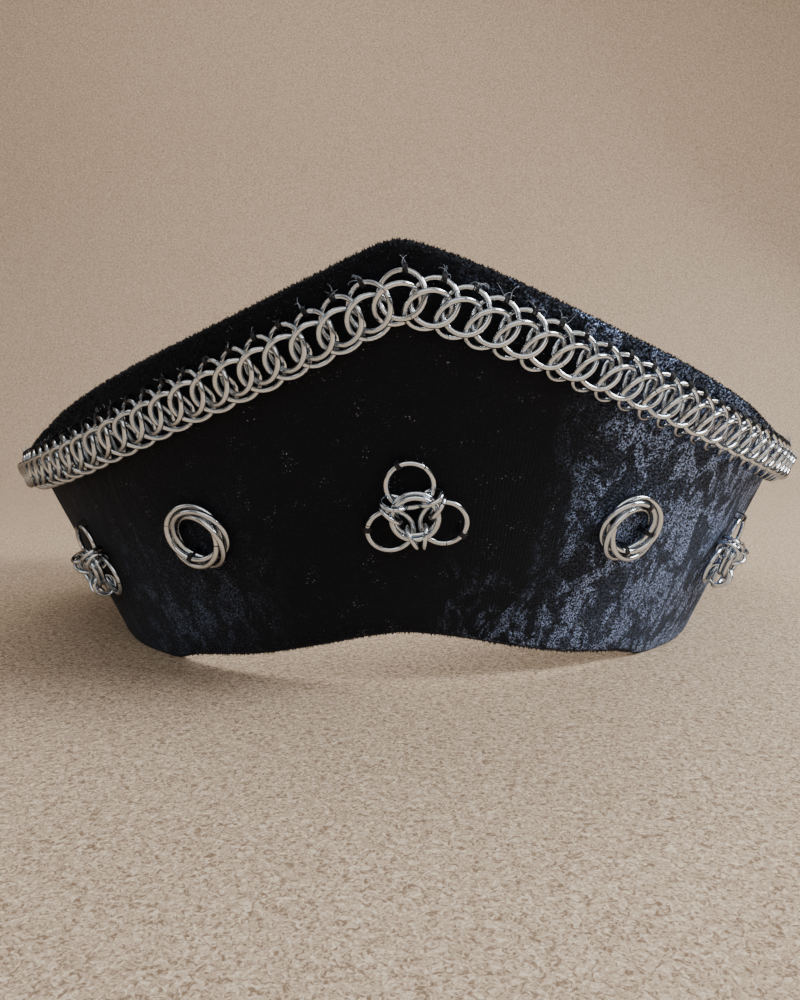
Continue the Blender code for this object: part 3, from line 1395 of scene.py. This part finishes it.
@dataclass
class Studio:
    """A plain pale paper sweep, soft lights and the camera. Lengths in metres."""

    paper: Material
    lens: float = 30.2
    camera_at: Triple = (-0.00205, -0.2706, 0.06985)
    dip: float = 0.109
    roll: float = -0.008
    sweep_start: float = 0.42
    sweep_radius: float = 0.40
    sweep_steps: int = 16
    wall_top: float = 1.8
    columns: tuple[float, ...] = (-1.8, -0.6, 0.0, 0.6, 1.8)

    def build_sweep(self) -> Object:
        """Builds the floor, which rises into a backdrop behind the piece.

        Returns:
            The floor.
        """
        profile = [(-1.6, 0.0), (-0.6, 0.0), (0.0, 0.0), (self.sweep_start, 0.0)]
        for k in range(1, self.sweep_steps + 1):
            turn = math.pi / 2 * k / self.sweep_steps
            back = self.sweep_start + self.sweep_radius * math.sin(turn)
            profile.append((back, self.sweep_radius * (1 - math.cos(turn))))
        profile.append((self.sweep_start + self.sweep_radius, self.wall_top))
        shape = bmesh.new()
        rows = [[shape.verts.new((x, y, z)) for y, z in profile] for x in self.columns]
        for first, second in zip(rows, rows[1:]):
            for k in range(len(profile) - 1):
                shape.faces.new((first[k], second[k], second[k + 1], first[k + 1])).smooth = True
        floor = piece_from(shape, "paper_sweep", self.paper)
        return floor

    @staticmethod
    def add_light(
        name: str, spot: Triple, size: tuple[float, float], power: float, colour: Triple, aim: Triple
    ) -> None:
        """Adds one soft rectangular light.

        Args:
            name: the light's name.
            spot: where it hangs.
            size: its width and height.
            power: its power in watts.
            colour: its colour.
            aim: the point that it faces.
        """
        lamp = bpy.data.lights.new(name, "AREA")
        lamp.shape = "RECTANGLE"
        lamp.size, lamp.size_y = size
        lamp.energy = power
        lamp.color = colour
        made = bpy.data.objects.new(name, lamp)
        made.location = spot
        made.rotation_mode = "QUATERNION"
        made.rotation_quaternion = (Vector(aim) - Vector(spot)).to_track_quat("-Z", "Y")
        bpy.context.scene.collection.objects.link(made)

    def build_lights(self) -> None:
        """Hangs the lights and sets the surroundings."""
        daylight, cool = (1.0, 0.99, 0.98), (0.84, 0.91, 1.0)
        cream, warm, amber = (1.0, 0.96, 0.90), (1.0, 0.93, 0.84), (1.0, 0.91, 0.82)
        front, right_wing, backdrop = (0.0, -0.05, 0.05), (0.08, 0.0, 0.06), (-0.35, 0.70, 0.05)
        for row in (
            ("window_light", (0.66, -0.24, 0.62), (0.38, 0.32), 8.0, daylight, front),
            ("overhead_panel", (0.10, 0.26, 0.85), (0.8, 0.55), 1.1, cream, front),
            ("rear_light", (0.60, 0.55, 0.45), (0.3, 0.25), 1.4, cool, right_wing),
            ("backdrop_light", (-0.22, 0.20, 0.75), (0.5, 0.3), 1.6, warm, backdrop),
            ("front_fill", (0.05, -0.85, 0.52), (1.0, 0.60), 2.1, cream, front),
            ("left_fill", (-0.9, -0.3, 0.45), (0.5, 0.4), 0.5, amber, front),
        ):
            self.add_light(*row)
        world = bpy.data.worlds.new("room")
        world.use_nodes = True
        bench = NodeBench(world.node_tree)
        aim = bench.add("ShaderNodeTexCoord", {}, {}, "Generated")
        upward = bench.add("ShaderNodeSeparateXYZ", {}, {0: aim}, "Z")
        tones = [(0.0, (0.075, 0.070, 0.065)), (0.30, (0.155, 0.150, 0.142)), (1.0, (0.33, 0.33, 0.33))]
        tone = bench.add("ShaderNodeValToRGB", {"stops": tones}, {0: upward})
        bench.give(world.node_tree.nodes["Background"].inputs, {"Color": tone, "Strength": 1.0})
        bpy.context.scene.world = world

    def build_camera(self) -> Object:
        """Sets the camera at the photograph's viewing angle.

        Returns:
            The camera.
        """
        forward = Vector((0.0, math.cos(self.dip), -math.sin(self.dip)))
        level = Vector((1.0, 0.0, 0.0))
        upright = level.cross(forward)
        c, s = math.cos(self.roll), math.sin(self.roll)
        right = level * c + upright * s
        up = upright * c - level * s
        lens = bpy.data.cameras.new("photo_camera")
        lens.lens = self.lens
        lens.sensor_width = 36.0
        lens.clip_start, lens.clip_end = 0.01, 20.0
        made = bpy.data.objects.new("photo_camera", lens)
        turn = Matrix((right, up, -forward)).transposed().to_4x4()
        turn.translation = self.camera_at
        made.matrix_world = turn
        bpy.context.scene.collection.objects.link(made)
        bpy.context.scene.camera = made
        return made


def ornament_list() -> list[RingOrnament]:
    """Lists the five ornaments with their places and the places of their ties.

    Returns:
        The ornaments.
    """
    trefoil = OrnamentKind.TREFOIL
    sides = (("outer_top", 90.0),)
    return [
        RingOrnament("centre_trefoil", trefoil, 0.6, 47.0, 9.0,
                     (("outer_top", 110.0), ("outer_left", 167.0), ("outer_right", 317.0))),
        RingOrnament("left_trefoil", trefoil, -52.1, 26.9, 12.0, sides),
        RingOrnament("right_trefoil", trefoil, 54.9, 27.4, -18.0, sides),
        RingOrnament("left_rosette", OrnamentKind.MIRRORED_ROSETTE, -25.9, 39.5, 30.0,
                     (("ring_1", 135.0), ("ring_2", 220.0), ("ring_3", 272.0))),
        RingOrnament("right_rosette", OrnamentKind.ROSETTE, 27.3, 40.5, -30.0,
                     (("ring_1", 190.0), ("ring_2", 295.0), ("ring_3", 90.0), ("ring_3", 14.0))),
    ]


def main() -> None:
    """Builds and dresses every piece."""
    logging.basicConfig(level=logging.INFO, format="%(name)s: %(message)s")
    wall = Wall()
    velvet = VelvetFinish().build()
    steel = SteelFinish().build()
    thread = ThreadFinish().build()
    # The loose ends are black thread given a pale blue-white colour: painted glints.
    pale = ThreadFinish("loose thread ends", (0.22, 0.28, 0.38), (0.80, 0.87, 1.0), 0.45, 0.9).build()

    studio = Studio(PaperFinish().build())
    studio.build_sweep()
    studio.build_lights()
    studio.build_camera()

    band = VelvetBand(wall, velvet).build()
    made = [band, PileTrim(PileFinish().build()).build(band)]
    chain = RingChain(wall, steel)
    made.append(chain.build())
    ornaments = ornament_list()
    for number, ornament in enumerate(ornaments):
        made += ornament.build(wall, steel, 100 + number)
    ties = ThreadTies(wall, thread, pale)
    stations = chain.stations()
    made += [ties.build_chain_ties(stations), ties.build_ornament_ties(ornaments)]
    made.append(ties.build_loose_ends(stations))
    for piece in made:
        piece.data.calc_loop_triangles()
        LOG.info("%s: %d triangles", piece.name, len(piece.data.loop_triangles))


if __name__ == "__main__":
    main()
